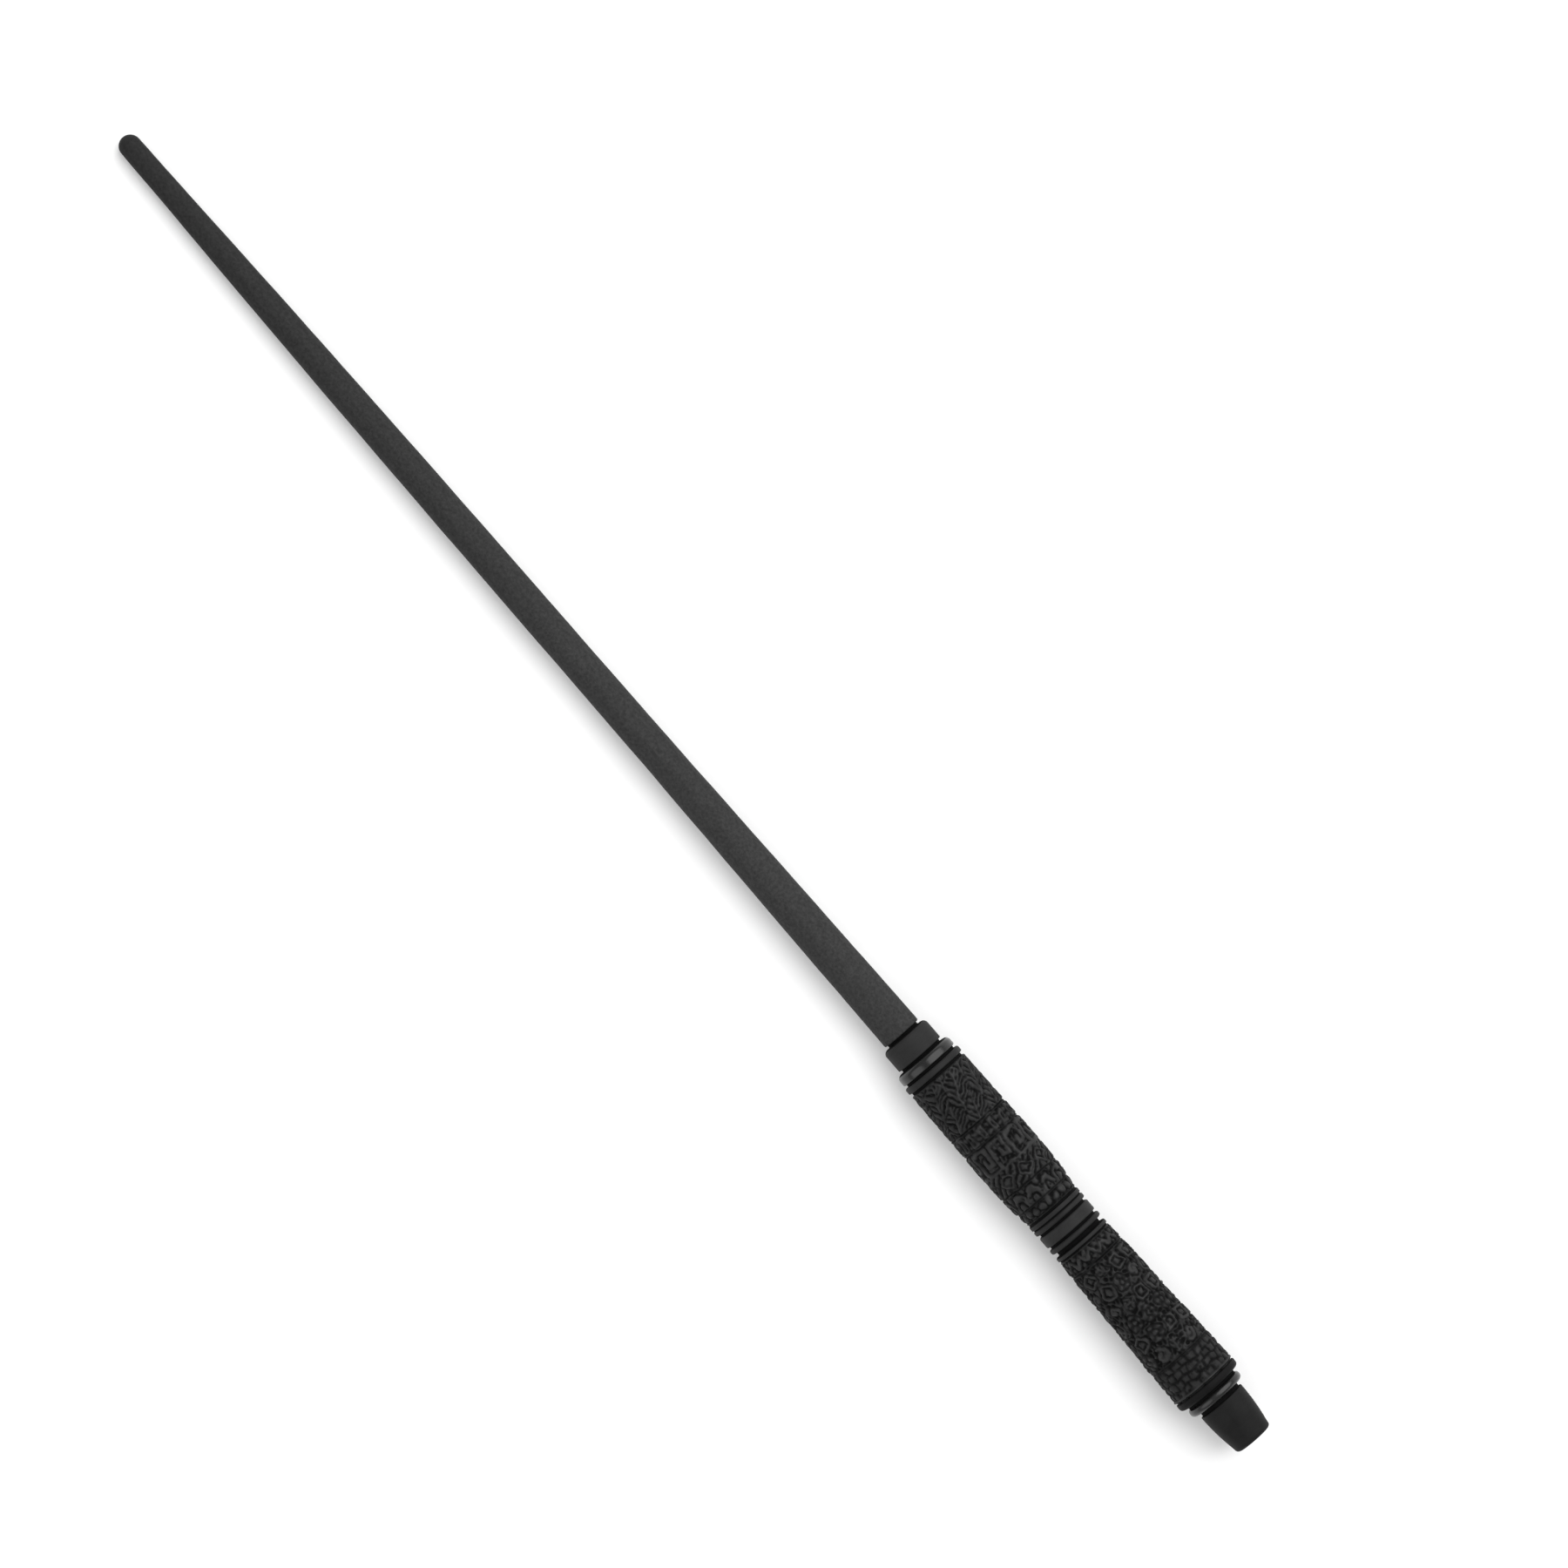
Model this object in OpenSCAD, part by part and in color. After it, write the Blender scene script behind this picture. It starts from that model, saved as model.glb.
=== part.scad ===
// Magic wand: a tapered shaft and a stack of turned rings and carved grips on one steel core rod.
// The rod is bonded into the shaft. A washer and nut on its threaded end clamp the stack, and a
// screw-on pommel covers them. The wand's axis is X: the centre of the pommel's end face is the
// origin, and the tip points along +X. Each piece has a smaller neck at its rear, and these
// necks make the grooves between the pieces. Millimetres.

/* [Overall] */
// Length from the pommel's end face to the tip
wand_len = 350; // [320:1:380]
// Gap around a glued or sliding fit, on the radius
fit_gap = 0.05; // [0.03:0.01:0.1]
// Gap around a screw thread, on the radius
thread_gap = 0.03; // [0.02:0.01:0.08]

/* [Shaft] */
// Diameter at the rounded tip
tip_d = 4.8; // [4.4:0.1:5.4]
// Diameter where the shaft meets the collar
base_d = 8.8; // [8.4:0.1:9.2]
// Diameter of the tenons that hold the stack in line
tenon_d = 6.4; // [5.8:0.1:6.8]
// Length of the shaft's tenon
shaft_tenon_len = 18; // [15:0.5:24]

/* [Grooves] */
// Width of the plain grooves
groove = 0.6; // [0.4:0.1:0.8]
// Width of the fine grooves beside the thin rings
fine_groove = 0.3; // [0.2:0.05:0.5]
// Width of the deep groove at the waist
deep_groove = 1; // [0.7:0.1:1.2]

/* [Collar rings] */
// Diameter of the plain collar
collar_d = 11; // [10.4:0.1:11.8]
// Length of the plain collar
collar_len = 5; // [4:0.1:6]
// Radius of the collar's front edge
collar_edge = 1.2; // [0.6:0.1:1.3]
// Diameter of the glossy bead behind the collar
collar_bead_d = 13.4; // [12.8:0.1:14]
// Length of that bead
collar_bead_len = 2.3; // [1.8:0.1:3]
// Diameter of the thin ring in front of the upper grip
front_ring_d = 14; // [13:0.1:14.4]
// Length of that ring
front_ring_len = 1.4; // [1:0.1:2]

/* [Grips] */
// Length of the upper grip
upper_len = 35.3; // [30:0.1:40]
// Diameter of the upper grip at its rear end
upper_rear_d = 12.9; // [12.8:0.1:13.6]
// Diameter of the upper grip at its fullest
upper_full_d = 14.4; // [13.9:0.1:15]
// Length of the lower grip
lower_len = 37.1; // [32:0.1:42]
// Diameter of the lower grip at its front end
lower_front_d = 12.9; // [12.8:0.1:13.6]
// Diameter of the lower grip at its fullest, near the pommel
lower_full_d = 15.2; // [14.6:0.1:16]

/* [Waist rings] */
// Diameter of the thin rings
waist_ring_d = 12.8; // [12.2:0.1:13.2]
// Length of a thin ring
waist_ring_len = 1.1; // [0.9:0.1:1.4]
// Diameter of the smooth band
waist_band_d = 12.6; // [12:0.1:13]
// Length of the smooth band
waist_band_len = 2.6; // [2:0.1:4]
// Length of the ring in front of the lower grip
last_ring_len = 0.9; // [0.7:0.1:1.2]

/* [End ring and pommel] */
// Diameter of the smooth ring that ends the lower grip
end_ring_d = 15.1; // [14.5:0.1:15.6]
// Length of that ring
end_ring_len = 1.6; // [1.3:0.1:2.2]
// Diameter of the glossy bead in front of the pommel
pommel_bead_d = 13.1; // [12.4:0.1:13.4]
// Length of that bead
pommel_bead_len = 1.9; // [1.6:0.1:2.4]
// Length of the pommel's tapered body
pommel_len = 10.2; // [9:0.1:12]
// Diameter of the body at its front end
pommel_front_d = 10.6; // [10.2:0.1:11]
// Diameter of the body at its free end
pommel_end_d = 8.8; // [8.2:0.1:9.4]
// Radius of its free edge
pommel_edge = 0.9; // [0.5:0.1:1.2]
// Length of the neck between the body and the bead
pommel_neck_len = 1; // [0.7:0.1:1.2]
// Diameter of that neck
pommel_neck_d = 9.6; // [8.8:0.1:10]
// Diameter of the spigot that the bead slides on
spigot_d = 6.2; // [5.8:0.1:6.6]

/* [Core rod and fasteners] */
// Diameter of the steel rod
rod_d = 3; // [2.8:0.1:3.2]
// Outer diameter of its thread
thread_d = 2.9; // [2.7:0.1:3.1]
// Length of its threaded end
thread_len = 12; // [11:0.5:18]
// Distance from the rod's front end to the tip
rod_to_tip = 25; // [18:1:60]
// Width of the clamp nut across its flats
nut_flats = 5.5; // [5:0.1:6]
// Thickness of the clamp nut
nut_len = 2.4; // [1.8:0.1:2.6]
// Outer diameter of the clamp washer
washer_d = 7; // [6.4:0.1:7.4]
// Thickness of the clamp washer
washer_len = 0.5; // [0.4:0.1:0.8]
// Diameter of the pocket that holds the nut and leaves room for its driver
pocket_d = 8.6; // [8:0.1:9]
// Outer diameter of the brass insert in the pommel
insert_d = 4.6; // [4.2:0.1:4.8]
// Length of that insert
insert_len = 5; // [4:0.1:5.6]

/* [Hidden] */

facets = 96;
arc_steps = 6;
cut = 0.5;                // how far a drill reaches past the face that it opens
end_gap = 0.3;            // air past the end of a tenon or the rod
chamfer = 0.3;            // small edges of grips, tenons and fasteners
seat_len = 5;             // how far the upper grip's tenon enters the lower grip
end_wall = 1.1;           // wall of the lower grip's rear tenon around the pocket
nut_to_pommel = 0.6;      // air between the nut and the pommel's spigot
rod_past_insert = 0.5;    // length of rod that stands past the insert when the pommel is tight

// Stations along the axis, from the pommel to the shaft. A piece runs from its rear to its
// front, and its neck reaches back from its rear to the front of the piece behind it.
bead_rear = pommel_len + pommel_neck_len;
bead_front = bead_rear + pommel_bead_len;
end_rear = bead_front + groove;
end_front = end_rear + end_ring_len;
lower_rear = end_front + fine_groove;
lower_front = lower_rear + lower_len;
ring_4_rear = lower_front + fine_groove;
ring_4_front = ring_4_rear + last_ring_len;
ring_3_rear = ring_4_front + deep_groove;
ring_3_front = ring_3_rear + waist_ring_len;
band_rear = ring_3_front + groove;
band_front = band_rear + waist_band_len;
ring_2_rear = band_front + groove;
ring_2_front = ring_2_rear + waist_ring_len;
ring_1_rear = ring_2_front + fine_groove;
ring_1_front = ring_1_rear + waist_ring_len;
upper_rear = ring_1_front + fine_groove;
upper_front = upper_rear + upper_len;
front_ring_rear = upper_front + groove;
front_ring_front = front_ring_rear + front_ring_len;
collar_bead_rear = front_ring_front + groove;
collar_bead_front = collar_bead_rear + collar_bead_len;
collar_rear = collar_bead_front + groove;
collar_front = collar_rear + collar_len;
shaft_rear = collar_front + groove;

// Tenons and the bores that they fit
rod_bore_d = rod_d + 2 * fit_gap;
tenon_bore_d = tenon_d + 2 * fit_gap;
end_tenon_d = pocket_d + 2 * end_wall;
shaft_tenon_rear = collar_front - shaft_tenon_len;
grip_tenon_rear = lower_front - seat_len;

// The nut and washer in their pocket, then the insert, rod end and socket in the pommel
nut_rear = bead_front + nut_to_pommel;
washer_rear = nut_rear + nut_len;
pocket_front = washer_rear + washer_len;
spigot_front = bead_front - fit_gap;
insert_front = spigot_front - chamfer;
insert_rear = insert_front - insert_len;
rod_rear = insert_rear - rod_past_insert;
rod_front = wand_len - rod_to_tip;
thread_front = rod_rear + thread_len;

// Shares of the full taper at even steps from the shaft's rear to its tip, and of each grip's
// swelling at even steps from its rear to its front.
shaft_shape = [1, 0.85, 0.67, 0.61, 0.51, 0.3, 0];
upper_shape = [0, 0.85, 1, 0.97, 0.87, 0.8, 0.75];
lower_shape = [1, 0.93, 0.72, 0.54, 0.42, 0.34, 0];

// Points of a round edge: angles are measured from outwards towards the front.
function arc(centre, radius, from, to) =
    [for (i = [0:arc_steps])
        let (a = from + (to - from) * i / arc_steps)
        centre + radius * [cos(a), sin(a)]];

// A smooth value at share t of a list of values that stand at even steps.
function smooth(list, t) =
    let (last = len(list) - 1, i = min(floor(t * last), last - 1), f = t * last - i,
         a = list[max(i - 1, 0)], b = list[i], c = list[i + 1], d = list[min(i + 2, last)])
    b + f / 2 * ((c - a) + f * ((2 * a - 5 * b + 4 * c - d) + f * (3 * (b - c) + d - a)));

// The side of a long piece: its diameter runs between two values as the shape list says.
function side(shape, low_d, high_d, rear, front, steps) =
    [for (i = [0:steps])
        let (t = i / steps)
        [(low_d + (high_d - low_d) * smooth(shape, t)) / 2, rear + (front - rear) * t]];

// A solid of revolution about X. Each point is [radius, station].
module turned(points)
    rotate([0, 90, 0])
        rotate_extrude($fn = facets)
            polygon(points);

module drill(d, rear, front)
    translate([rear, 0, 0])
        rotate([0, 90, 0])
            cylinder(d = d, h = front - rear, $fn = facets);

// A round bar with chamfered ends.
module bar(d, rear, front)
    turned([[0, rear], [d / 2 - chamfer, rear], [d / 2, rear + chamfer],
            [d / 2, front - chamfer], [d / 2 - chamfer, front], [0, front]]);

// A turned ring and the neck behind it. The radii of its rear and front edges may differ.
module ring(d, rear, front, neck_d, neck_len, bore_d, rear_edge, front_edge)
    turned(concat([[bore_d / 2, rear - neck_len], [neck_d / 2, rear - neck_len], [neck_d / 2, rear]],
                  arc([d / 2 - rear_edge, rear + rear_edge], rear_edge, -90, 0),
                  arc([d / 2 - front_edge, front - front_edge], front_edge, 0, 90),
                  [[bore_d / 2, front]]));

module shaft() color([0.24, 0.24, 0.24])
    difference() {
        turned(concat([[0, shaft_tenon_rear], [tenon_d / 2 - chamfer, shaft_tenon_rear],
                       [tenon_d / 2, shaft_tenon_rear + chamfer], [tenon_d / 2, collar_front],
                       [base_d / 2 - groove, collar_front], [base_d / 2 - groove, shaft_rear],
                       [base_d / 2 - chamfer, shaft_rear]],
                      side(shaft_shape, tip_d, base_d, shaft_rear + chamfer, wand_len - tip_d / 2, 24),
                      arc([0, wand_len - tip_d / 2], tip_d / 2, 0, 90)));
        drill(rod_bore_d, shaft_tenon_rear - cut, rod_front + end_gap);
    }

module core_rod() color([0.7, 0.71, 0.72])
    union() {
        bar(rod_d, thread_front - chamfer, rod_front);
        bar(thread_d, rod_rear, thread_front + chamfer);
    }

module collar() color([0.19, 0.19, 0.19])
    ring(collar_d, collar_rear, collar_front, collar_d - 2 * groove, groove, tenon_bore_d,
         0.2, collar_edge);

// The bead is a quarter round: full at the rear, and it falls towards the collar in front.
module collar_bead() color([0.14, 0.14, 0.14])
    ring(collar_bead_d, collar_bead_rear, collar_bead_front, collar_bead_d - 2 * groove, groove,
         tenon_bore_d, 0.3, 1.3);

module front_ring() color([0.14, 0.14, 0.14])
    ring(front_ring_d, front_ring_rear, front_ring_front, front_ring_d - 2 * groove, groove,
         tenon_bore_d, 0.4, 0.4);

// The waist's rings and band sit on the upper grip's tenon.
module waist_ring(rear, len, neck_d, neck_len) color([0.14, 0.14, 0.14])
    ring(waist_ring_d, rear, rear + len, neck_d, neck_len, tenon_bore_d, 0.3, 0.3);

module waist_ring_1() waist_ring(ring_1_rear, waist_ring_len, waist_ring_d - 2 * fine_groove, fine_groove);
module waist_ring_2() waist_ring(ring_2_rear, waist_ring_len, waist_band_d - 2 * groove, groove);
module waist_ring_3() waist_ring(ring_3_rear, waist_ring_len, waist_ring_d - 2 * deep_groove, deep_groove);
module waist_ring_4() waist_ring(ring_4_rear, last_ring_len, waist_ring_d - 2 * fine_groove, fine_groove);

module waist_band() color([0.19, 0.19, 0.19])
    ring(waist_band_d, band_rear, band_front, waist_band_d - 2 * groove, groove, tenon_bore_d, 0.3, 0.3);

module upper_grip() color([0.12, 0.12, 0.12])
    difference() {
        turned(concat([[0, grip_tenon_rear], [tenon_d / 2 - chamfer, grip_tenon_rear],
                       [tenon_d / 2, grip_tenon_rear + chamfer], [tenon_d / 2, ring_1_front],
                       [waist_ring_d / 2 - fine_groove, ring_1_front],
                       [waist_ring_d / 2 - fine_groove, upper_rear],
                       [upper_rear_d / 2 - chamfer, upper_rear]],
                      side(upper_shape, upper_rear_d, upper_full_d,
                           upper_rear + chamfer, upper_front - chamfer, 18),
                      [[front_ring_d / 2 - chamfer, upper_front], [0, upper_front]]));
        drill(rod_bore_d, grip_tenon_rear - cut, upper_front + cut);
        drill(tenon_bore_d, shaft_tenon_rear - end_gap, upper_front + cut);
    }

// The lower grip takes the upper grip's tenon in front. Behind, its own tenon carries the end
// ring around the pocket of the nut.
module lower_grip() color([0.12, 0.12, 0.12])
    difference() {
        turned(concat([[0, bead_front], [end_tenon_d / 2, bead_front], [end_tenon_d / 2, end_front],
                       [end_ring_d / 2 - fine_groove, end_front],
                       [end_ring_d / 2 - fine_groove, lower_rear]],
                      side(lower_shape, lower_front_d, lower_full_d,
                           lower_rear + chamfer, lower_front - chamfer, 18),
                      [[lower_front_d / 2 - chamfer, lower_front], [0, lower_front]]));
        drill(rod_bore_d, bead_front - cut, lower_front + cut);
        drill(pocket_d, bead_front - cut, pocket_front);
        drill(tenon_bore_d, grip_tenon_rear - end_gap, lower_front + cut);
    }

// The end ring's rolled rear edge turns in towards the pommel bead.
module end_ring() color([0.12, 0.12, 0.12])
    ring(end_ring_d, end_rear, end_front, pommel_bead_d - 2 * groove, groove,
         end_tenon_d + 2 * fit_gap, 0.9, 0.2);

module clamp_washer() color([0.72, 0.72, 0.7])
    difference() {
        drill(washer_d, washer_rear, pocket_front);
        drill(rod_bore_d, washer_rear - cut, pocket_front + cut);
    }

// The nut's corners are turned down at both ends.
module clamp_nut() color([0.72, 0.72, 0.7])
    difference() {
        intersection() {
            translate([nut_rear, 0, 0])
                rotate([0, 90, 0])
                    cylinder(d = nut_flats / cos(30), h = nut_len, $fn = 6);
            turned([[0, nut_rear], [nut_flats / 2, nut_rear],
                    [nut_flats / 2 + 2 * chamfer, nut_rear + chamfer],
                    [nut_flats / 2 + 2 * chamfer, washer_rear - chamfer],
                    [nut_flats / 2, washer_rear], [0, washer_rear]]);
        }
        drill(thread_d + 2 * thread_gap, nut_rear - cut, washer_rear + cut);
    }

// The bead is a half round that turns freely on the pommel's spigot.
module pommel_bead() color([0.14, 0.14, 0.14])
    difference() {
        turned(concat([[0, bead_rear]],
                      arc([pommel_bead_d / 2 - 0.8, bead_rear + 0.8], 0.8, -90, 0),
                      arc([pommel_bead_d / 2 - 0.8, bead_front - 0.8], 0.8, 0, 90),
                      [[0, bead_front]]));
        drill(spigot_d + 2 * fit_gap, bead_rear - cut, bead_front + cut);
    }

// The body swells quickly from its free edge and then runs almost straight to its front end.
function pommel_side() =
    [for (i = [0:8])
        let (t = i / 8)
        [(pommel_front_d - (pommel_front_d - pommel_end_d) * pow(1 - t, 2)) / 2,
         pommel_edge + (pommel_len - chamfer - pommel_edge) * t]];

module pommel() color([0.15, 0.15, 0.15])
    difference() {
        turned(concat([[0, 0]],
                      arc([pommel_end_d / 2 - pommel_edge, pommel_edge], pommel_edge, -90, 0),
                      pommel_side(),
                      [[pommel_front_d / 2 - chamfer, pommel_len], [pommel_neck_d / 2, pommel_len],
                       [pommel_neck_d / 2, bead_rear], [spigot_d / 2, bead_rear],
                       [spigot_d / 2, spigot_front], [0, spigot_front]]));
        drill(insert_d, insert_rear, spigot_front + cut);
        drill(rod_bore_d, rod_rear - end_gap, spigot_front + cut);
    }

module pommel_insert() color([0.78, 0.62, 0.3])
    difference() {
        drill(insert_d, insert_rear, insert_front);
        drill(thread_d + 2 * thread_gap, insert_rear - cut, insert_front + cut);
    }

core_rod();
shaft();
collar();
collar_bead();
front_ring();
upper_grip();
waist_ring_1();
waist_ring_2();
waist_band();
waist_ring_3();
waist_ring_4();
lower_grip();
end_ring();
clamp_washer();
clamp_nut();
pommel_bead();
pommel();
pommel_insert();
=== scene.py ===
import math

import bmesh
import bpy
import numpy as np
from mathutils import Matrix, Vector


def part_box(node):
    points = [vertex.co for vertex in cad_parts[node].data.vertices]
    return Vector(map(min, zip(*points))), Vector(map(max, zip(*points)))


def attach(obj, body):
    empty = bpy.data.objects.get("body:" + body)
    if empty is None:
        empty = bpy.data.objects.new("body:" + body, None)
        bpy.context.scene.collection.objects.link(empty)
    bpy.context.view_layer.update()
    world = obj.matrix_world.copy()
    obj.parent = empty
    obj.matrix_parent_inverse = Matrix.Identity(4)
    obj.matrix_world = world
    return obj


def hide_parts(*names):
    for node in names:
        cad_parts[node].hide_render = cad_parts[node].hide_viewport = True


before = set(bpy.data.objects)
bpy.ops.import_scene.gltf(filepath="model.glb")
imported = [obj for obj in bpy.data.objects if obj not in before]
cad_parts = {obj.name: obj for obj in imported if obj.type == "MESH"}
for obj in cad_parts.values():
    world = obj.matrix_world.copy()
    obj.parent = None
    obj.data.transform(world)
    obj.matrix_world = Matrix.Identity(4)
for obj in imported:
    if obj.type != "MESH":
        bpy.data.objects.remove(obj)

# The wand's axis is X, from the pommel's end face at the origin to the tip. Shapes are worked
# out here in millimetres as (station along X, radius) and written to the meshes in metres.
MM = 0.001
SEGMENTS = 192            # sides of a plain turned piece
SHAFT_SEGMENTS = 128      # sides of the shaft
SHAFT_ROWS = 480          # rows of points along the shaft
GRIP_SEGMENTS = 288       # columns of the carved relief, around the grip
GRIP_ROWS = 260           # rows of the carved relief, along the grip
ROD_SEGMENTS = 96         # sides of the core rod
ARC_STEP = math.radians(11)       # the turn of one facet of a rounded edge
FLAT_CORNER = math.radians(85)    # half the angle of a corner that is left as it is
SHARP_ANGLE = math.radians(50)    # an edge that turns more than this is shaded sharp
ON_AXIS = 1e-7            # how near the axis a point counts as on it, m
RECESS = 0.9              # a face with all its points lower than this lies in a groove
RELIEF_DEPTH = 0.48       # from the highest land of the carving to its floor, mm
SHAFT_WEAR = 0.02         # the shaft's mean wear, mm; it is three times this at most
THREAD_PITCH = 0.5        # of the core rod's thread, mm
THREAD_DEPTH = 0.27
KNURL_LINES = 24          # lines of the insert's knurl each way
KNURL_DEPTH = 0.11        # mm

# Repeated from part.scad, mm
FIT_GAP = 0.05
END_GAP = 0.3
GROOVE = 0.6
FINE_GROOVE = 0.3
DEEP_GROOVE = 1.0
THREAD_LEN = 12.0
TIP_R = 2.4
END_WALL = 1.1
POMMEL_LEN = 10.2
POMMEL_NECK_R = 4.8
ROD_BORE_R = 1.55

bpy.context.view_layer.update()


# ---------------------------------------------------------------- the CAD's own measures

def span(node):
    """A node's rear and front stations and its largest radius, mm."""
    low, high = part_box(node)
    return low.x / MM, high.x / MM, high.z / MM


def polar(node):
    """The station of each of a node's points and its distance from the axis, mm."""
    points = np.array([v.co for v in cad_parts[node].data.vertices]) / MM
    return points[:, 0], np.hypot(points[:, 1], points[:, 2])


def bore(node):
    """The smallest radius of a node's points off the axis, mm."""
    radii = polar(node)[1]
    return radii[radii > 0.5].min()


def side(node, rear, front, least):
    """A function that gives the outer radius of a CAD node between two stations, mm. Points
    nearer the axis than least belong to its bore and are passed over."""
    stations, radii = polar(node)
    keep = (stations >= rear - 0.01) & (stations <= front + 0.01) & (radii > least)
    stations, radii = stations[keep], radii[keep]
    places = np.unique(np.round(stations, 2))
    tops = [radii[np.abs(stations - x) < 0.011].max() for x in places]
    return lambda x: np.interp(x, places, tops)


# ---------------------------------------------------------------- meshes of revolution

def fillet(before, corner, after, radius):
    """Points that round off one corner of an outline and leave half of each side to the next."""
    before, corner, after = (np.array(p, float) for p in (before, corner, after))
    back, ahead = before - corner, after - corner
    room = 0.49 * min(np.hypot(*back), np.hypot(*ahead))
    back, ahead = back / np.hypot(*back), ahead / np.hypot(*ahead)
    half = math.acos(np.clip(back @ ahead, -1, 1)) / 2
    if radius <= 0 or half > FLAT_CORNER:
        return [corner]
    reach = min(radius / math.tan(half), room)
    radius = reach * math.tan(half)
    middle = (back + ahead) / np.hypot(*(back + ahead))
    centre = corner + middle * radius / math.sin(half)
    start = corner + back * reach - centre
    end = corner + ahead * reach - centre
    turn = math.atan2(start[0] * end[1] - start[1] * end[0], start @ end)
    steps = max(2, round(abs(turn) / ARC_STEP))
    arc = []
    for i in range(steps + 1):
        c, s = math.cos(turn * i / steps), math.sin(turn * i / steps)
        arc.append(centre + [start[0] * c - start[1] * s, start[0] * s + start[1] * c])
    return arc


def outline(corners):
    """A closed outline from (station, radius, edge radius) corners. A longer straight run also
    gets a point close to each of its ends, so that smooth shading keeps the run flat."""
    count = len(corners)
    points = []
    for i, (x, r, edge) in enumerate(corners):
        points += fillet(corners[i - 1][:2], (x, r), corners[(i + 1) % count][:2], edge)
    held = []
    for i, point in enumerate(points):
        following = points[(i + 1) % len(points)]
        held.append(point)
        length = np.hypot(*(following - point))
        if length > 0.35:
            inset = (following - point) * min(0.08 / length, 0.3)
            held += [point + inset, following - inset]
    return np.array(held)


def revolve(name, stations, radii, segments):
    """A closed mesh of revolution. radii has a row for each station, with one value for the
    whole row or one for each side."""
    rows = len(stations)
    radii = np.broadcast_to(np.asarray(radii, float).reshape(rows, -1), (rows, segments))
    angle = np.arange(segments) * 2 * math.pi / segments
    points = np.empty((rows, segments, 3))
    points[..., 0] = np.asarray(stations)[:, None]
    points[..., 1] = radii * np.cos(angle)
    points[..., 2] = radii * np.sin(angle)
    row = np.arange(rows)[:, None]
    column = np.arange(segments)[None, :]
    next_row, next_column = (row + 1) % rows, (column + 1) % segments
    quads = np.stack([row * segments + column, row * segments + next_column,
                      next_row * segments + next_column, next_row * segments + column], -1)
    mesh = bpy.data.meshes.new(name)
    mesh.vertices.add(rows * segments)
    mesh.vertices.foreach_set("co", (points * MM).astype(np.float32).ravel())
    mesh.loops.add(quads.size)
    mesh.loops.foreach_set("vertex_index", quads.astype(np.int32).ravel())
    mesh.polygons.add(rows * segments)
    mesh.polygons.foreach_set("loop_start", np.arange(0, quads.size, 4, dtype=np.int32))
    mesh.update(calc_edges=True)
    piece = bpy.data.objects.new(name, mesh)
    bpy.context.scene.collection.objects.link(piece)
    return piece


def tidy(piece):
    """Joins the points that meet on the axis, turns the faces outwards and marks sharp edges."""
    def central(v):
        return math.hypot(v.co.y, v.co.z) < ON_AXIS

    bm = bmesh.new()
    bm.from_mesh(piece.data)
    middle = [v for v in bm.verts if central(v)]
    if middle:
        bmesh.ops.remove_doubles(bm, verts=middle, dist=1e-6)
        spine = [e for e in bm.edges if all(central(v) for v in e.verts)]
        bmesh.ops.delete(bm, geom=spine, context="EDGES")
    bmesh.ops.recalc_face_normals(bm, faces=bm.faces)
    for face in bm.faces:
        face.smooth = True
    for edge in bm.edges:
        edge.smooth = len(edge.link_faces) != 2 or edge.calc_face_angle(0) < SHARP_ANGLE
    bm.to_mesh(piece.data)
    bm.free()
    return piece


def shade(piece, values):
    """Stores how high each point stands, 0 in a recess and 1 on the land, for the materials, which
    paint shade into the recesses by it.
    """
    attribute = piece.data.attributes.new("relief", "FLOAT", "POINT")
    attribute.data.foreach_set("value", np.asarray(values, np.float32).ravel())


def turned(name, corners, neck_r=0, neck_from=0):
    """A turned piece. From the station neck_from on, what is near neck_r is shaded as a recess."""
    points = outline(corners)
    piece = revolve(name, points[:, 0], points[:, 1], SEGMENTS)
    high = np.maximum(rise(points[:, 1] - neck_r, 0.02, 0.3), points[:, 0] < neck_from)
    shade(piece, np.repeat(high, SEGMENTS))
    return tidy(piece)


def ring(node, neck_len, neck_r, rear_edge, front_edge):
    """A turned ring with the neck behind it that makes the groove. The edges are their radii."""
    rear, front, radius = span(node)
    body = rear + neck_len
    inner = bore(node)
    corners = [(rear, inner, 0.08), (rear, neck_r, 0.03), (body, neck_r, 0.12),
               (body, radius, rear_edge), (front, radius, front_edge), (front, inner, 0.08)]
    return turned(node + "_turned", corners, neck_r)


def place(piece, body, node, slot, material):
    """Dresses a piece, which stands for a CAD node and rides its body. The grooves of the turned
    black pieces get a near-black of their own, which paints shade into them."""
    mesh = piece.data
    mesh.materials.append(material)
    if slot in ("satin_black", "gloss_black", "shaft_black"):
        high = np.empty(len(mesh.vertices), np.float32)
        mesh.attributes["relief"].data.foreach_get("value", high)
        # Painted shade: faces that lie in a groove take the near-black groove material.
        mesh.materials.append(GROOVE_PAINTED_SHADE)
        for face in mesh.polygons:
            if max(high[v] for v in face.vertices) < RECESS:
                face.material_index = 1
    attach(piece, body)
    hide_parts(node)


# ---------------------------------------------------------------- carving
#
# A motif gives the height of a band of carving, 0 to 1. u is the share of the way around the
# grip and v the distance from the band's front edge. length is the band's, and width is the way
# around, all in mm but u.

def waves(columns, rows, seed, around, along, terms=26):
    """Smooth noise, mostly between -1 and 1, that closes around the piece. around and along are
    the lowest and highest number of waves each way."""
    random = np.random.default_rng(seed)
    u = np.arange(columns)[None, :] / columns
    v = np.arange(rows)[:, None] / rows
    total = np.zeros((rows, columns))
    for _ in range(terms):
        angle = random.uniform(0, 2 * math.pi)
        across = round(random.uniform(*around) * math.cos(angle))
        down = random.uniform(*along) * math.sin(angle)
        total += np.sin(2 * math.pi * (across * u + down * v) + random.uniform(0, 2 * math.pi))
    return total / math.sqrt(terms)


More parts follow.
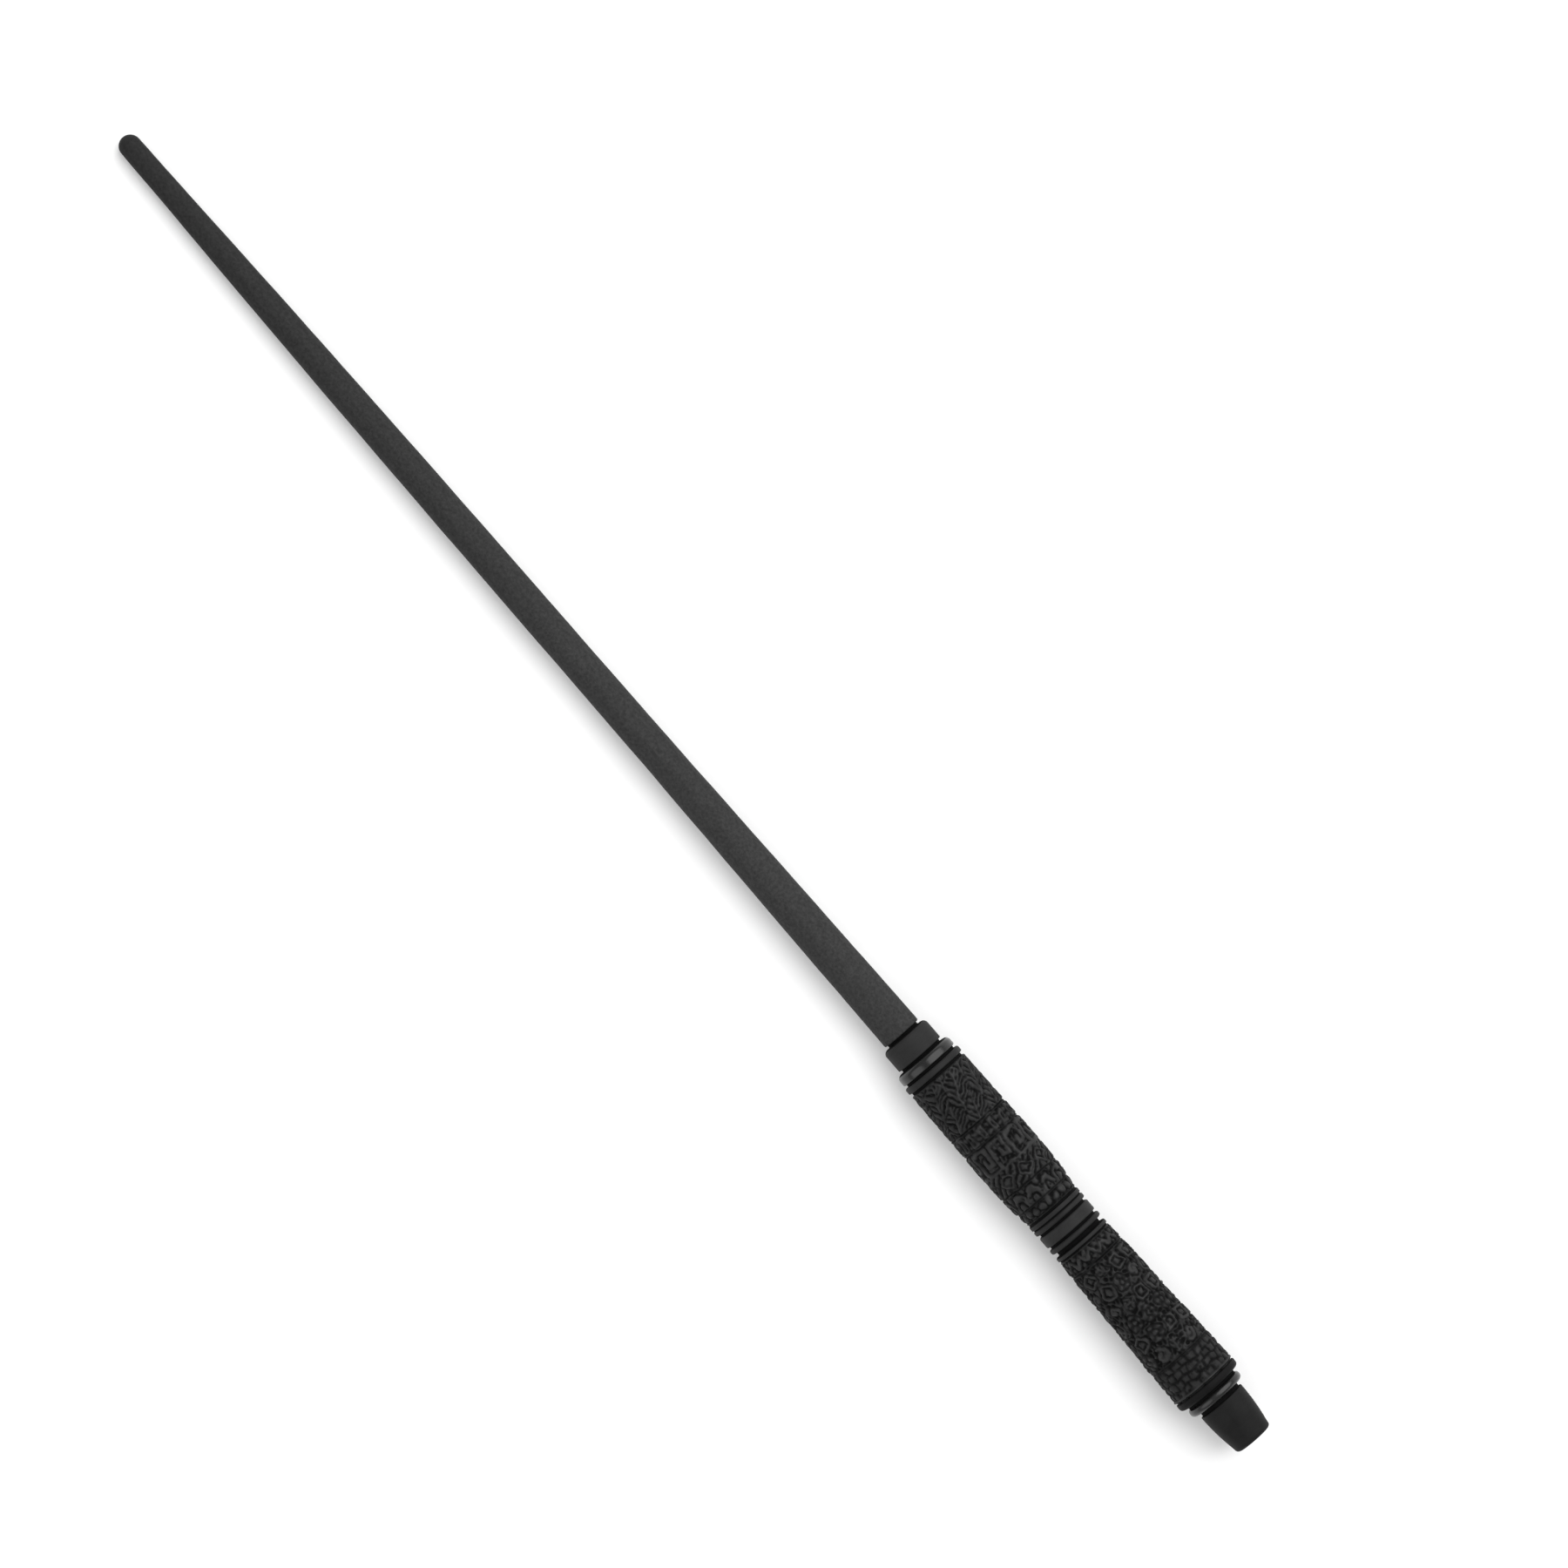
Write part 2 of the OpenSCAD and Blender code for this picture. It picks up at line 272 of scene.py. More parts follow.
def ridge(distance, half_width):
    """The height of a broad rounded ridge: 1 on its line, 0 from half_width on."""
    return np.sqrt(np.clip(1 - np.abs(distance / half_width) ** 3, 0, 1))


def rise(value, start, end):
    """A smooth step from 0 at start to 1 at end."""
    t = np.clip((value - start) / (end - start), 0, 1)
    return t * t * (3 - 2 * t)


def cells(u, count, width):
    """Splits the way round into cells: each one's number, and the place in it from its middle,
    mm."""
    position = u * count
    number = np.floor(position)
    return number.astype(int) % count, (position - number - 0.5) * width / count


def strokes(a, b, points, half_width):
    """Rounded ridges along a line through points."""
    nearest = np.full(np.broadcast(a, b).shape, 9.0)
    for (a0, b0), (a1, b1) in zip(points, points[1:]):
        da, db = a1 - a0, b1 - b0
        t = np.clip(((a - a0) * da + (b - b0) * db) / (da * da + db * db), 0, 1)
        nearest = np.minimum(nearest, np.hypot(a - a0 - t * da, b - b0 - t * db))
    return ridge(nearest, half_width)


def spiral(outer, turns, steps=26):
    """Points of a scroll that winds in from its outer radius to its eye."""
    points = []
    for i in range(steps + 1):
        t = i / steps
        radius, angle = outer * (1 - 0.84 * t), 2 * math.pi * turns * t
        points.append((radius * math.cos(angle), radius * math.sin(angle)))
    return points


def bars(phase, share):
    """Rounded bars along a phase in whole turns: share is how much of each turn they fill."""
    return ridge((phase % 1 - 0.5) * 2, share)


def leaves(u, v, length, width):
    """Feathered leaves in staggered rows, each with slanting ribs that meet on its midrib."""
    rows, count, height = 2, 8, 0
    tall = length / rows
    for row in range(-1, rows + 1):
        _, a = cells((u + 0.5 * (row % 2) / count + 0.4 * v / width) % 1, count, width)
        t = (v - row * tall) / (tall * 1.5)
        half = width / count * 0.52 * np.sin(math.pi * np.clip(t, 0, 1)) ** 0.6 + 1e-6
        inside = rise(half - np.abs(a), 0, 0.25) * (t > 0) * (t < 1)
        ribs = bars((v + 0.9 * np.abs(a)) / 1.3, 0.8)
        blade = inside * np.maximum(0.92 * ribs * rise(np.abs(a), 0.2, 0.5), ridge(a, 0.3))
        height = np.where(inside > 0.5, blade, np.maximum(height, blade))
    return height


def blocks(u, v, length, width):
    """Upright blocks with a sunk middle, and pairs of studs between them."""
    count = 15
    _, a = cells(u, count, width)
    b = v - length / 2
    block = rise(0.92 - np.abs(a), 0, 0.3) * rise(length * 0.47 - np.abs(b), 0, 0.3)
    sunk = ridge(np.hypot(a / 0.42, b / (length * 0.26)), 1)
    edge = width / count / 2 - np.abs(a)
    studs = np.maximum(ridge(np.hypot(edge, b - 0.8), 0.62), ridge(np.hypot(edge, b + 0.8), 0.62))
    return np.maximum(block - 0.85 * sunk, 0.9 * studs)


def fret(u, v, length, width):
    """A running key pattern of broad square strokes."""
    count = 10
    _, a = cells(u, count, width)
    half = width / count / 2
    high = length / 2 - 0.45
    b = v - length / 2
    key = [(-half, high), (-half, -high), (half * 0.46, -high), (half * 0.46, high * 0.3),
           (-half * 0.2, high * 0.3), (-half * 0.2, -high * 0.24)]
    top = [(-half, high), (half, high)]
    height = np.maximum(strokes(a, b, key, 0.56), strokes(a, b, top, 0.5))
    return np.maximum(height, strokes(a - 2 * half, b, key[:2], 0.56))


def hatch(u, v, length, width):
    """Slanting bars, broken by a row of diamonds."""
    slant = bars((u * width + 0.85 * v) / (width / round(width / 1.7)), 0.8)
    _, a = cells(u, 9, width)
    diamond = np.abs(a) + np.abs(v - length / 2) * 0.9
    rim = ridge(diamond - 1.5, 0.42)
    return np.where(diamond < 2.05, np.maximum(rim, ridge(diamond, 0.85)), 0.92 * slant)


def arches(u, v, length, width):
    """A row of broad round arches, each around a drop, with leaves between their heads."""
    count = 11
    _, a = cells(u, count, width)
    b = length - 0.2 - v
    half = width / count / 2
    reach = np.hypot(a, np.clip(b, 0, None) * half / (length - 0.5))
    drop = ridge(np.hypot(a, b * 0.75 - 0.3), 0.85)
    spandrel = 0.9 * ridge(np.hypot(half - np.abs(a), (b - length * 0.86) * 0.8), 0.7)
    return np.maximum.reduce([ridge(reach - half * 0.78, 0.46), drop, spandrel])


def knobs(u, v, length, width):
    """A row of round knobs that stand a little unevenly."""
    count = 21
    number, a = cells(u, count, width)
    b = v - length / 2 - 0.14 * np.sin(number * 2.4)
    return ridge(np.hypot(a / (width / count * 0.48), b / (length * 0.44)), 1)


def chevrons(u, v, length, width):
    """A broad zigzag with a stud in each opening."""
    count = 14
    _, a = cells(u, count, width)
    half = width / count / 2
    zigzag = strokes(a, v - 0.6, [(-half, length - 1.3), (0, 0), (half, length - 1.3)], 0.5)
    upper = ridge(np.hypot(half - np.abs(a), v - 0.75), 0.66)
    lower = ridge(np.hypot(a, v - length + 0.7), 0.56)
    return np.maximum.reduce([zigzag, 0.95 * upper, 0.9 * lower])


def roundels(u, v, length, width):
    """A field of staggered scrolls, rosettes, leaves and diamonds, each turned its own way."""
    rows, count = 6, 11
    tall, step = length / rows, width / count
    random = np.random.default_rng(41)
    turn = random.uniform(0, 2 * math.pi, (rows, count))
    hand = random.choice([-1, 1], (rows, count))
    kind = random.choice(4, (rows, count))
    jitter = random.uniform(-0.35, 0.35, (2, rows, count))
    size = random.uniform(1.7, 2.05, (rows, count))
    row = np.clip((v / tall).astype(int), 0, rows - 1)
    number, a = cells((u + 0.5 * (row % 2) / count) % 1, count, width)
    b = v - (row + 0.5) * tall
    where = (row, number)
    edge = np.minimum(step / 2 - np.abs(a), tall / 2 - np.abs(b))
    a, b, size = a - jitter[0][where], b - jitter[1][where], size[where]
    c, s = np.cos(turn[where]), np.sin(turn[where])
    p, q = (a * c + b * s) / size, (b * c - a * s) * hand[where] / size
    reach, way = np.hypot(p, q), np.arctan2(q, p)
    scroll = np.maximum(strokes(p, q, spiral(0.8, 1.1), 0.27), ridge(reach, 0.3))
    petals = 0.35 + 0.65 * (0.5 + 0.5 * np.cos(5 * way))
    rosette = np.maximum(ridge(reach - 0.68, 0.3) * petals, ridge(reach, 0.32))
    leaf = rise(1 - np.hypot(p, q * (1.3 + 0.4 * p)), 0, 0.15)
    ribs = bars((p + 0.8 * np.abs(q)) / 0.62, 0.82) * rise(np.abs(q), 0.1, 0.25)
    leaf = leaf * np.maximum(0.95 * ribs, ridge(q, 0.17))
    square = np.abs(p) + np.abs(q) * 0.85
    diamond = np.maximum(ridge(square - 0.88, 0.26), ridge(square, 0.48))
    height = np.choose(kind[where], [scroll, rosette, leaf, diamond])
    return height * rise(edge, 0, 0.15)


def pyramids(u, v, length, width):
    """Rows of blunt four-sided pyramids, each row set half a step on."""
    rows, count, height = 4, 23, 0
    tall = length / rows
    steep, top = 2.4, 0.72
    for row in range(rows):
        _, a = cells((u + row * 0.5 / count) % 1, count, width)
        b = (v - (row + 0.5) * tall) / (tall / 2)
        off_peak = np.maximum(np.abs(a) / (width / count / 2), np.abs(b))
        height = np.maximum(height, steep * (1 - off_peak))
    return top * np.clip(height, 0, 1)


def line(u, v, length, width):
    """One cut line between two narrow lands."""
    return 1 - ridge(v - length / 2, length * 0.34) + 0 * u


def border(u, v, length, width):
    """A plain land."""
    return 1 + 0 * (u + v)


# Each band's length and motif, from the grip's front end; the lengths are stretched to fit.
UPPER_BANDS = [(0.4, border), (11.5, leaves), (0.7, line), (3.7, blocks), (0.6, line),
               (6.2, fret), (4.6, hatch), (0.6, line), (3.8, arches), (0.5, line), (2.3, knobs),
               (0.4, border)]
LOWER_BANDS = [(0.3, border), (3.4, chevrons), (0.6, line), (25.0, roundels), (0.6, line),
               (6.6, pyramids), (0.6, border)]


def spread(height):
    """The highest value at each point and its neighbours, within about 0.15 mm."""
    wide = np.maximum.reduce([np.roll(height, k, 1) for k in (-1, 0, 1)])
    return np.maximum.reduce([np.roll(wide, k, 0) for k in (-1, 0, 1)])


def soften(height):
    """Blends each point a little with its neighbours, along the grip and then around it."""
    height = height.copy()
    height[1:-1] = (height[:-2] + 2 * height[1:-1] + height[2:]) / 4
    return (np.roll(height, 1, 1) + 2 * height + np.roll(height, -1, 1)) / 4


def relief(bands, length, width, seed):
    """The height of the carving, 0 to 1, with rows from the grip's front end to its rear. The
    motifs are drawn by an unsteady hand, worm-like ridges fill their ground, and worn patches,
    half-filled recesses and chips break them up."""
    def noise(offset, period_low, period_high, terms=26):
        around = (width / period_high, width / period_low)
        along = (length / period_high, length / period_low)
        return waves(GRIP_SEGMENTS, GRIP_ROWS, seed + offset, around, along, terms)

    along = np.linspace(0, length, GRIP_ROWS)[:, None]
    sway_u = 0.22 * noise(0, 2.5, 9) + 0.07 * noise(1, 0.9, 2)
    sway_v = 0.2 * noise(2, 2.5, 9) + 0.07 * noise(3, 0.9, 2)
    u = np.arange(GRIP_SEGMENTS)[None, :] / GRIP_SEGMENTS + sway_u / width
    height = np.zeros((GRIP_ROWS, GRIP_SEGMENTS))
    plain = np.zeros((GRIP_ROWS, 1))
    scale = length / sum(size for size, _ in bands)
    start, slack = 0, 1e-9
    for size, motif in bands:
        size = size * scale
        inside = (along[:, 0] >= start - slack) & (along[:, 0] <= start + size + slack)
        rows = np.nonzero(inside)[0]
        free = rise(np.minimum(along[rows] - start, start + size - along[rows]), 0, 0.5)
        v = along[rows] - start + sway_v[rows] * free
        height[rows] = np.clip(motif(u[rows] % 1, v, size, width), 0, 1)
        plain[rows] = motif in (line, border)
        start += size
    worms = 0.8 * ridge(noise(4, 1.3, 2.4, 40), 0.75)
    height = np.maximum(height, worms * (1 - plain) * (1 - rise(spread(height), 0.1, 0.5)))
    filled = 0.5 * rise(noise(7, 1.8, 5, 40), 0.3, 1.3) * (1 - 0.6 * plain)
    height = height + (1 - height) * filled
    chips = rise(noise(5, 0.9, 2, 40), 1.1, 1.6) * (1 - 0.5 * plain)
    wear = np.clip(0.88 - 0.13 * noise(6, 1.6, 6, 40), 0.55, 1)
    return np.clip(soften(height * (1 - 0.8 * chips) * wear), 0, 1)


def carved(name, node, rear, front, bands, corners, seed):
    """A grip: its carved side from front to rear, then the plain turned outline back to the
    front."""
    profile = side(node, rear, front, 5.5)
    stations = np.linspace(front - 0.02, rear + 0.02, GRIP_ROWS)
    from_end = np.minimum(front - stations, stations - rear)
    land = profile(stations) - 0.22 * (1 - rise(from_end, 0, 0.3)) ** 2
    height = relief(bands, front - rear, 2 * math.pi * land.mean(), seed)
    sides = land[:, None] - RELIEF_DEPTH * (1 - height)
    back = outline(corners)
    start = int(np.argmin(np.hypot(back[:, 0] - rear, back[:, 1] - land[-1])))
    back = np.roll(back, -start, 0)
    keep = back[:, 1] < land.min() - 0.05
    keep |= (back[:, 0] < rear - 0.01) | (back[:, 0] > front + 0.01)
    back = back[keep]
    all_stations = np.concatenate([stations, back[:, 0]])
    all_radii = np.concatenate([sides, np.repeat(back[:, 1:], GRIP_SEGMENTS, 1)])
    piece = revolve(name, all_stations, all_radii, GRIP_SEGMENTS)
    shade(piece, np.concatenate([height, np.zeros((len(back), GRIP_SEGMENTS))]))
    return tidy(piece)


# ---------------------------------------------------------------- materials

class Nodes:
    """A short way to write a material's nodes."""

    def __init__(self, name):
        self.material = bpy.data.materials.new(name)
        self.material.use_nodes = True
        self.tree = self.material.node_tree
        self.shader = self.tree.nodes["Principled BSDF"]
        self.place = self.add("ShaderNodeTexCoord").outputs["Object"]

    def add(self, kind, **settings):
        node = self.tree.nodes.new(kind)
        for key, value in settings.items():
            setattr(node, key, value)
        return node

    def link(self, source, target):
        self.tree.links.new(source, target)

    def feed(self, socket, value):
        """Sets a socket to a number, or links it to another node's output."""
        if not isinstance(value, (int, float)):
            self.link(value, socket)
        elif socket.type == "RGBA":
            socket.default_value = (value, value, value, 1)
        else:
            socket.default_value = value

    def set(self, **values):
        """Sets sockets of the shader, with _ for each space in their names."""
        for key, value in values.items():
            self.shader.inputs[key.replace("_", " ")].default_value = value

    def relief(self):
        """How high a point stands, as stored in the mesh."""
        return self.add("ShaderNodeAttribute", attribute_name="relief").outputs["Fac"]

    def noise(self, stretch, scale, detail=3, roughness=0.55):
        """Noise over the piece: stretch gives its frequency along X, Y and Z."""
        mapping = self.add("ShaderNodeMapping")
        mapping.inputs["Scale"].default_value = stretch
        self.link(self.place, mapping.inputs["Vector"])
        noise = self.add("ShaderNodeTexNoise")
        noise.inputs["Scale"].default_value = scale
        noise.inputs["Detail"].default_value = detail
        noise.inputs["Roughness"].default_value = roughness
        self.link(mapping.outputs["Vector"], noise.inputs["Vector"])
        return noise.outputs["Fac"]

    def ramp(self, source, stops):
        """Turns a value into a colour: stops are (value, grey level or colour) pairs."""
        ramp = self.add("ShaderNodeValToRGB")
        elements = ramp.color_ramp.elements
        while len(elements) < len(stops):
            elements.new(0.5)
        for element, (where, level) in zip(elements, stops):
            element.position = where
            element.color = (*np.broadcast_to(level, 3), 1)
        self.link(source, ramp.inputs["Fac"])
        return ramp.outputs["Color"]

    def maths(self, operation, first, second):
        node = self.add("ShaderNodeMath", operation=operation)
        for socket, value in zip(node.inputs, (first, second)):
            self.feed(socket, value)
        return node.outputs["Value"]

    def mix(self, kind, share, first, second):
        """Mixes two colours. The node's sockets 0, 6 and 7 are its factor and its colours."""
        node = self.add("ShaderNodeMix", data_type="RGBA", blend_type=kind)
        for socket, value in ((0, share), (6, first), (7, second)):
            self.feed(node.inputs[socket], value)
        return node.outputs[2]

    def bump(self, height, depth, strength, after=None):
        """Bumps of the given depth, m, on top of those that after gives."""
        bump = self.add("ShaderNodeBump")
        bump.inputs["Strength"].default_value = strength
        bump.inputs["Distance"].default_value = depth
        self.link(height, bump.inputs["Height"])
        if after is not None:
            self.link(after, bump.inputs["Normal"])
        return bump.outputs["Normal"]

    def finish(self, colour, roughness=None, normal=None):
        """Joins what is given to the shader, and gives the material."""
        sources = {"Base Color": colour, "Roughness": roughness, "Normal": normal}
        for socket, source in sources.items():
            if source is not None:
                self.link(source, self.shader.inputs[socket])
        return self.material


def shaft_black():
    """Matt charcoal: a fine speckled grain, faint streaks along the shaft and rubbed patches. The
    base colour is darker towards the tip and a little darker near the collar, and painted
    shade darkens the groove behind the body."""
    n = Nodes("shaft_black")
    n.set(Specular_IOR_Level=0.1)
    height = n.relief()
    split = n.add("ShaderNodeSeparateXYZ")
    n.link(n.place, split.inputs[0])
    along = n.maths("DIVIDE", split.outputs["X"], span("shaft")[1] * MM)
    fade = n.ramp(along, [(0.3, 0.9), (0.42, 1.0), (0.6, 0.96), (1.0, 0.58)])
    speckle = n.noise((1, 1, 1), 1500, 3, 0.7)
    streak = n.noise((0.035, 1, 1), 900, 4, 0.6)
    patch = n.noise((0.3, 1, 1), 45, 3, 0.5)
    tone = n.ramp(speckle, [(0.32, 0.021), (0.68, 0.040)])
    tone = n.mix("MULTIPLY", 0.5, tone, n.ramp(streak, [(0.3, 0.75), (0.7, 1.0)]))
    tone = n.mix("MULTIPLY", 0.7, tone, n.ramp(patch, [(0.3, 0.78), (0.7, 1.0)]))
    tone = n.mix("MULTIPLY", 1.0, tone, fade)
    # Painted shade: the colour falls to an eighth where the relief marks the groove behind the
    # body.
    tone = n.mix("MULTIPLY", 1.0, tone, n.ramp(height, [(0.0, 0.12), (1.0, 1.0)]))
    rough = n.ramp(patch, [(0.25, 0.62), (0.75, 0.74)])
    normal = n.bump(speckle, 0.00003, 0.5)
    normal = n.bump(streak, 0.00003, 0.35, normal)
    return n.finish(tone, rough, normal)


def carved_black():
    """Satin black with painted shade: the colour darkens from the highest land into the
    recesses, which are also duller, and the land carries a glossier coat.
    """
    n = Nodes("carved_black")
    n.set(Specular_IOR_Level=0.04, Coat_Roughness=0.45, Coat_IOR=1.5)
    height = n.relief()
    grain = n.noise((1, 1, 1), 1900, 4, 0.6)
    patch = n.noise((1, 1, 1), 120, 3, 0.5)
    shaken = n.maths("ADD", height, n.maths("MULTIPLY", n.maths("SUBTRACT", grain, 0.5), 0.3))
    # Painted shade: the base colour darkens about elevenfold from the highest land to the recesses.
    tone = n.ramp(shaken, [(0.05, 0.0015), (0.4, 0.0062), (0.6, 0.0105), (0.95, 0.0165)])
    tone = n.mix("MULTIPLY", 0.6, tone, n.ramp(patch, [(0.3, 0.65), (0.7, 1.0)]))
    rough = n.ramp(shaken, [(0.1, 0.75), (0.7, 0.55), (1.0, 0.48)])
    coat = n.ramp(shaken, [(0.2, 0.03), (0.6, 0.14), (0.95, 0.3)])
    n.link(coat, n.shader.inputs["Coat Weight"])
    return n.finish(tone, rough, n.bump(grain, 0.00004, 0.6))


def turned_black(name, low, high, rough_low, rough_high, specular=0.12):
    """Turned black: fine tool lines around the piece, a soft uneven sheen and painted shade that
    darkens the recesses. Its base colour and its roughness vary between low and high."""
    n = Nodes(name)
    n.set(Specular_IOR_Level=specular)
    height = n.relief()
    lathe = n.noise((1, 0.02, 0.02), 9000, 2, 0.5)
    haze = n.noise((1, 1, 1), 260, 4, 0.6)
    speck = n.noise((1, 1, 1), 2400, 2, 0.6)
    tone = n.ramp(haze, [(0.3, low), (0.7, high)])
    tone = n.mix("MULTIPLY", 0.5, tone, n.ramp(lathe, [(0.35, 0.75), (0.65, 1.0)]))
    # Painted shade: the colour falls to a tenth where the relief marks a recess.
    tone = n.mix("MULTIPLY", 1.0, tone, n.ramp(height, [(0.0, 0.1), (1.0, 1.0)]))
    rough = n.mix("MIX", height, 0.8, n.ramp(haze, [(0.3, rough_low), (0.7, rough_high)]))
    normal = n.bump(lathe, 0.000012, 0.5)
    normal = n.bump(speck, 0.00001, 0.4, normal)
    return n.finish(tone, rough, normal)


def gloss_black():
    """Polished black beads: deep, with a clear coat and the faintest tool lines."""
    material = turned_black("gloss_black", 0.004, 0.008, 0.2, 0.3, specular=0.28)
    shader = material.node_tree.nodes["Principled BSDF"]
    shader.inputs["Coat Weight"].default_value = 0.12
    shader.inputs["Coat Roughness"].default_value = 0.2
    return material


def metal(name, dark, light, rough_low, rough_high, drawn):
    """Bare metal with a slightly tarnished tone. Its lines run along the wand, as they do on drawn
    metal, or around it, as on turned metal."""
    n = Nodes(name)
    n.set(Metallic=1.0)
    lines = n.noise((0.03, 1, 1) if drawn else (1, 0.03, 0.03), 5000, 3, 0.6)
    tarnish = n.noise((1, 1, 1), 300, 4, 0.6)
    tone = n.ramp(tarnish, [(0.3, dark), (0.7, light)])
    rough = n.ramp(lines, [(0.3, rough_low), (0.7, rough_high)])
    return n.finish(tone, rough, n.bump(lines, 0.00001, 0.4))


def groove_painted_shade():
    """Painted shade: a near-black for the faces in the grooves, with a faint random mottle."""
    n = Nodes("groove_painted_shade")
    n.set(Specular_IOR_Level=0.05)
    groove_mottle = n.noise((1, 1, 1), 900, 3, 0.6)
    tone = n.ramp(groove_mottle, [(0.3, 0.0015), (0.7, 0.004)])
    rough = n.ramp(groove_mottle, [(0.3, 0.8), (0.7, 0.95)])
    return n.finish(tone, rough, n.bump(groove_mottle, 0.00002, 0.4))


SHAFT_BLACK = shaft_black()
CARVED_BLACK = carved_black()
SATIN_BLACK = turned_black("satin_black", 0.009, 0.016, 0.5, 0.62)
COLLAR_BLACK = turned_black("collar_black", 0.012, 0.019, 0.55, 0.68)
END_BLACK = turned_black("end_black", 0.0035, 0.007, 0.5, 0.62, specular=0.06)
BAND_BLACK = turned_black("band_black", 0.013, 0.022, 0.45, 0.55, specular=0.09)
POMMEL_BLACK = turned_black("pommel_black", 0.0055, 0.0108, 0.5, 0.62, specular=0.085)
GLOSS_BLACK = gloss_black()
GROOVE_PAINTED_SHADE = groove_painted_shade()
STEEL = metal("steel", (0.42, 0.43, 0.44), (0.58, 0.59, 0.6), 0.24, 0.4, drawn=True)
ZINC = metal("zinc", (0.5, 0.5, 0.47), (0.66, 0.66, 0.62), 0.28, 0.42, drawn=False)
BRASS = metal("brass", (0.6, 0.42, 0.16), (0.78, 0.58, 0.26), 0.22, 0.36, drawn=False)


# ---------------------------------------------------------------- the wand's pieces

def shaft():
    """The tapered shaft, with a hand-rubbed surface that stays within the CAD's radius."""
    rear, front, _ = span("shaft")
    shoulder = span("collar")[1]
    body = shoulder + GROOVE
    profile = side("shaft", body, front, 1.9)
    base_r = profile(body + 0.4)
    tip_centre = front - TIP_R
    tenon_r = bore("collar") - FIT_GAP
    inner = bore("shaft")
    bore_end = span("core_rod")[1] + END_GAP
    stations = np.linspace(body + 0.3, tip_centre, SHAFT_ROWS)
    radii = profile(stations)
    rub = waves(SHAFT_SEGMENTS, SHAFT_ROWS, 5, (1, 5), (3, 30)) \
        + 0.5 * waves(SHAFT_SEGMENTS, SHAFT_ROWS, 6, (4, 12), (10, 60))
    sides = radii[:, None] - SHAFT_WEAR * np.clip(1 + rub, 0, 3)
    ends = 1 - rise(np.minimum(stations - stations[0], stations[-1] - stations), 0, 4)[:, None]
    sides = sides * (1 - ends) + (radii[:, None] - SHAFT_WEAR) * ends
    angles = np.linspace(0, math.pi / 2, 18)[1:]
    cap_r = radii[-1] - SHAFT_WEAR
    cap = [(tip_centre + TIP_R * math.sin(t), cap_r * math.cos(t)) for t in angles]
    cap[-1] = (front, 0.0)
    rest = [(bore_end, 0.0), (bore_end, inner), (rear, inner), (rear, tenon_r - 0.3),
            (rear + 0.3, tenon_r), (shoulder, tenon_r), (shoulder, base_r - GROOVE),
            (body - 0.1, base_r - GROOVE), (body, base_r - GROOVE + 0.1), (body, base_r - 0.3),
            (body + 0.05, base_r - 0.14), (body + 0.16, base_r - 0.05)]
    plain = np.array(cap + rest)
    all_stations = np.concatenate([stations, plain[:, 0]])
    all_radii = np.concatenate([sides, np.repeat(plain[:, 1:], SHAFT_SEGMENTS, 1)])
    piece = revolve("shaft_turned", all_stations, all_radii, SHAFT_SEGMENTS)
    # The groove and tenon behind the shaft's body are stored as recess, which the materials paint
    # with shade.
    shade(piece, np.where(all_stations < body + 0.02, 0, 1)[:, None] + 0 * all_radii)
    place(tidy(piece), "wand", "shaft", "shaft_black", SHAFT_BLACK)


def core_rod():
    """The steel rod, with a real helical thread on its rear end."""
    rear, front, radius = span("core_rod")
    thread_r = radius - 0.05
    rows = int(THREAD_LEN / THREAD_PITCH * 10)
    stations = np.linspace(rear + 0.01, rear + THREAD_LEN, rows)
    around = np.arange(ROD_SEGMENTS)[None, :] / ROD_SEGMENTS
    turn = (stations[:, None] / THREAD_PITCH - around) % 1
    depth = THREAD_DEPTH * np.clip(1.25 * np.abs(2 * turn - 1) - 0.1, 0, 1)
    lead = rise(stations - rear, 0, 0.5)[:, None]
    runout = rise(rear + THREAD_LEN - stations, 0, 0.7)[:, None]
    sides = thread_r - depth * runout - 0.28 * (1 - lead)
    plain = np.array([(rear + THREAD_LEN + 0.1, radius), (front - 0.3, radius),
                      (front - 0.1, radius - 0.08), (front, radius - 0.3), (front, 0.0),
                      (rear, 0.0), (rear, radius - 0.6)])
    all_stations = np.concatenate([stations, plain[:, 0]])
    all_radii = np.concatenate([sides, np.repeat(plain[:, 1:], ROD_SEGMENTS, 1)])
    piece = tidy(revolve("core_rod_threaded", all_stations, all_radii, ROD_SEGMENTS))
    place(piece, "wand", "core_rod", "steel", STEEL)


def collar_rings():
    """The collar, its bead and the ring behind them."""
    rings = [("collar", 0.2, 1.15, COLLAR_BLACK, "satin_black"),
             ("collar_bead", 0.3, 1.3, GLOSS_BLACK, "gloss_black"),
             ("front_ring", 0.42, 0.42, SATIN_BLACK, "satin_black")]
    for node, rear_edge, front_edge, material, slot in rings:
        piece = ring(node, GROOVE, span(node)[2] - GROOVE, rear_edge, front_edge)
        place(piece, "wand", node, slot, material)


def waist_rings():
    """The four thin rings of the waist and the band between them."""
    ring_r = span("waist_ring_1")[2]
    band_r = span("waist_band")[2]
    rings = [("waist_ring_1", FINE_GROOVE, ring_r - FINE_GROOVE, 0.4),
             ("waist_ring_2", GROOVE, band_r - GROOVE, 0.4),
             ("waist_ring_3", DEEP_GROOVE, ring_r - DEEP_GROOVE, 0.4),
             ("waist_ring_4", FINE_GROOVE, ring_r - FINE_GROOVE, 0.34)]
    for node, neck_len, neck_r, edge in rings:
        piece = ring(node, neck_len, neck_r, edge, edge)
        place(piece, "wand", node, "satin_black", SATIN_BLACK)
    piece = ring("waist_band", GROOVE, band_r - GROOVE, 0.42, 0.42)
    place(piece, "wand", "waist_band", "gloss_black", BAND_BLACK)


